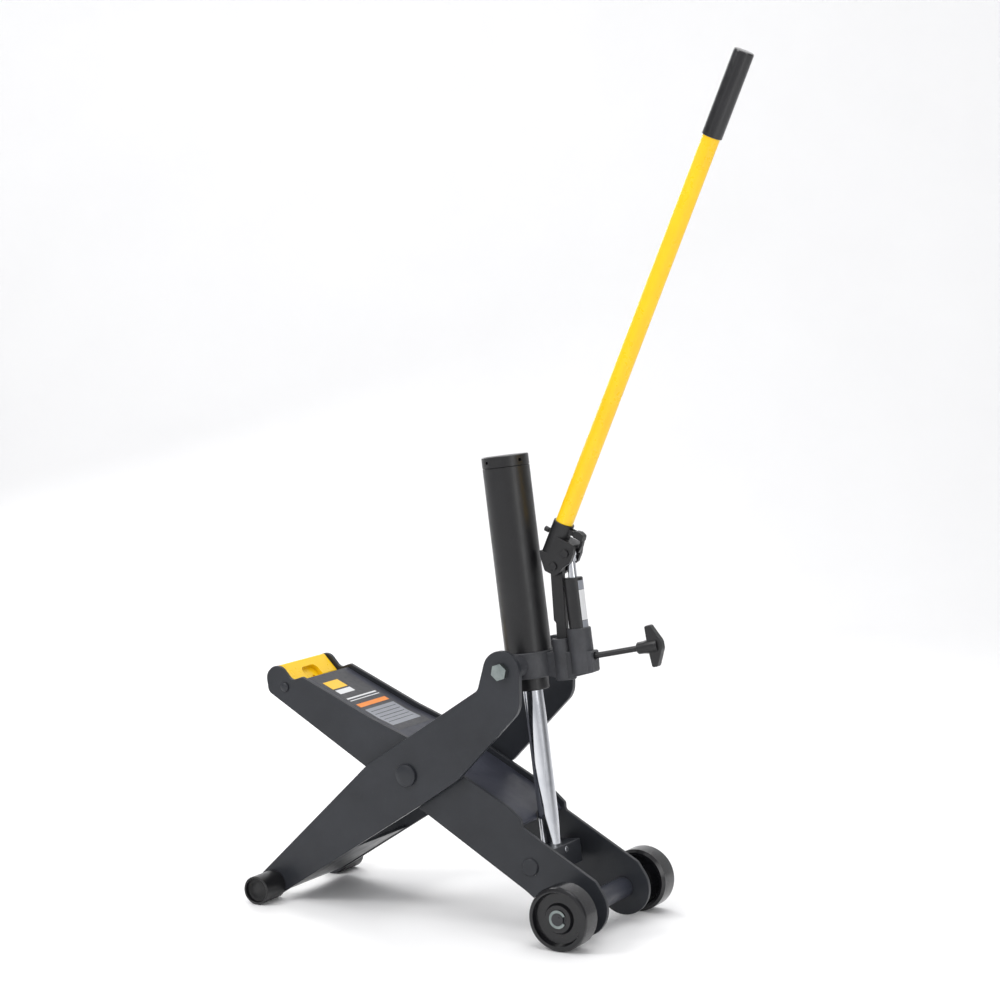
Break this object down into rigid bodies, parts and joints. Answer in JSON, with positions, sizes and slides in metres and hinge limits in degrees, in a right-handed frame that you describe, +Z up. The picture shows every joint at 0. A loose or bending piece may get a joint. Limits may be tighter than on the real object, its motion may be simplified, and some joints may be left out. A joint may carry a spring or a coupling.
{
  "type": "forklift jack",
  "caption": "Hydraulic forklift jack: crossed pairs of plates on a wheeled axle, opened by an upright ram unit, with a pump handle and a tilting lift saddle.",
  "frame": {"origin": "middle of the bounding box in X and Y, on the ground plane in Z", "axes": "+Z up, +Y along the wheel axle, the saddle points to -X and the handle leans to +X"},
  "size_m": [0.824, 0.3154, 1.3594],
  "materials": {
    "charcoal_paint": "satin enamel over plate steel",
    "grey_casting": "painted casting",
    "black_enamel": "gloss black enamel",
    "yellow_paint": "gloss enamel",
    "hard_chrome": "hard chrome, ground and polished",
    "zinc_plate": "bright zinc plating",
    "bare_steel": "turned steel, oiled",
    "bronze": "sintered bearing bronze",
    "black_rubber": "matt black",
    "wheel_black": "moulded nylon, glossy",
    "vinyl_grip": "dipped vinyl, glossy"
  },
  "bodies": {
    "rear_axle": {"axle_shaft": "bare_steel", "retaining_ring_near": "zinc_plate", "retaining_ring_far": "zinc_plate", "wheel_spacer_near": "bare_steel", "wheel_spacer_far": "bare_steel"},
    "near_wheel": {"wheel_near": "wheel_black", "wheel_bushing_near": "bronze"},
    "far_wheel": {"wheel_far": "wheel_black", "wheel_bushing_far": "bronze"},
    "inner_arm": {"inner_plate_near": "charcoal_paint", "inner_plate_far": "charcoal_paint", "inner_web": "charcoal_paint", "axle_tube": "charcoal_paint", "saddle_pin_near": "charcoal_paint", "saddle_pin_far": "charcoal_paint", "ram_pin": "charcoal_paint"},
    "lifting_saddle": {"saddle": "yellow_paint"},
    "outer_arm": {"outer_plate_near": "charcoal_paint", "outer_plate_far": "charcoal_paint", "outer_web": "charcoal_paint", "foot_tube_near": "black_enamel", "foot_tube_far": "black_enamel", "foot_plug_near": "black_rubber", "foot_plug_far": "black_rubber", "pivot_pin": "charcoal_paint", "pivot_cap": "charcoal_paint", "pivot_spacer_near": "bare_steel", "pivot_spacer_far": "bare_steel"},
    "hydraulic_unit": {"hydraulic_block": "grey_casting", "gland_nut": "black_enamel", "pressure_cylinder": "bare_steel", "reservoir_tube": "black_enamel", "top_cap": "black_enamel", "filler_plug": "black_rubber", "pump_barrel": "black_enamel", "link_pin_lower": "bare_steel", "trunnion_bolt_near": "zinc_plate", "trunnion_bolt_far": "zinc_plate"},
    "ram": {"ram_rod": "hard_chrome", "ram_piston": "bare_steel", "ram_seal": "black_rubber", "ram_foot": "charcoal_paint", "ram_set_screw": "bare_steel"},
    "pump_link": {"fulcrum_link": "charcoal_paint"},
    "pump_lever": {"handle_socket": "charcoal_paint", "fulcrum_pin": "charcoal_paint", "piston_pin": "charcoal_paint", "handle_tube": "yellow_paint", "handle_grip": "vinyl_grip", "catch_pin": "bare_steel"},
    "pump_plunger": {"pump_piston": "hard_chrome"},
    "release_valve": {"valve_rod": "black_enamel", "valve_knob": "black_enamel"},
    "thumb_screw": {"thumb_screw": "charcoal_paint"},
    "handle_catch": {"handle_catch": "charcoal_paint"}
  },
  "joints": [
    {"name": "near_wheel_spin", "type": "hinge", "parent": "rear_axle", "child": "near_wheel", "pos_m": [0.17208, -0.1367, 0.05], "axis": [0, 1, 0], "continuous": true},
    {"name": "far_wheel_spin", "type": "hinge", "parent": "rear_axle", "child": "far_wheel", "pos_m": [0.17208, 0.1367, 0.05], "axis": [0, 1, 0], "continuous": true},
    {"name": "arm_lean", "type": "hinge", "parent": "rear_axle", "child": "inner_arm", "pos_m": [0.17208, 0, 0.05], "axis": [0, 1, 0], "range_deg": [-29.3, 0]},
    {"name": "cross_pivot", "type": "hinge", "parent": "inner_arm", "child": "outer_arm", "pos_m": [-0.1301, 0, 0.23014], "axis": [0, 1, 0], "range_deg": [0, 62]},
    {"name": "unit_tilt", "type": "hinge", "parent": "outer_arm", "child": "hydraulic_unit", "pos_m": [0.04001, 0, 0.4106], "axis": [0, 1, 0], "range_deg": [-31, 0]},
    {"name": "ram_tilt", "type": "hinge", "parent": "inner_arm", "child": "ram", "pos_m": [0.08292, 0, 0.10315], "axis": [0, 1, 0], "range_deg": [0, 31]},
    {"name": "saddle_tilt", "type": "hinge", "parent": "inner_arm", "child": "lifting_saddle", "pos_m": [-0.37139, 0, 0.34778], "axis": [0, 1, 0], "range_deg": [-20, 20]},
    {"name": "link_rock", "type": "hinge", "parent": "hydraulic_unit", "child": "pump_link", "pos_m": [0.10008, 0, 0.44321], "axis": [0, 1, 0], "range_deg": [-3, 0]},
    {"name": "lever_pump", "type": "hinge", "parent": "pump_link", "child": "pump_lever", "pos_m": [0.09009, 0, 0.56904], "axis": [0, 1, 0], "range_deg": [0, 33]},
    {"name": "plunger_slide", "type": "slide", "parent": "hydraulic_unit", "child": "pump_plunger", "axis": [-0.1382, 0, 0.9904], "range_m": [-0.0155, 0]},
    {"name": "valve_turn", "type": "hinge", "parent": "hydraulic_unit", "child": "release_valve", "pos_m": [0.15626, 0, 0.43136], "axis": [0.973, 0, 0.2308], "range_deg": [0, 360]},
    {"name": "thumb_screw_turn", "type": "hinge", "parent": "pump_lever", "child": "thumb_screw", "pos_m": [0.09206, 0, 0.61585], "axis": [-0.9238, 0, 0.3828], "range_deg": [0, 360]},
    {"name": "catch_lift", "type": "hinge", "parent": "pump_lever", "child": "handle_catch", "pos_m": [0.11636, 0, 0.62148], "axis": [0, 1, 0], "range_deg": [-12, 0], "stiffness_Nm_per_rad": 0.3, "springref_deg": 5.73}
  ],
  "couplings": [
    {"joint": "arm_lean", "follows": "cross_pivot", "ratio": -0.4721},
    {"joint": "unit_tilt", "follows": "cross_pivot", "ratio": -0.5},
    {"joint": "ram_tilt", "follows": "cross_pivot", "ratio": 0.5},
    {"joint": "link_rock", "follows": "lever_pump", "ratio": -0.083},
    {"joint": "plunger_slide", "follows": "lever_pump", "m_per_rad": -0.02635}
  ]
}
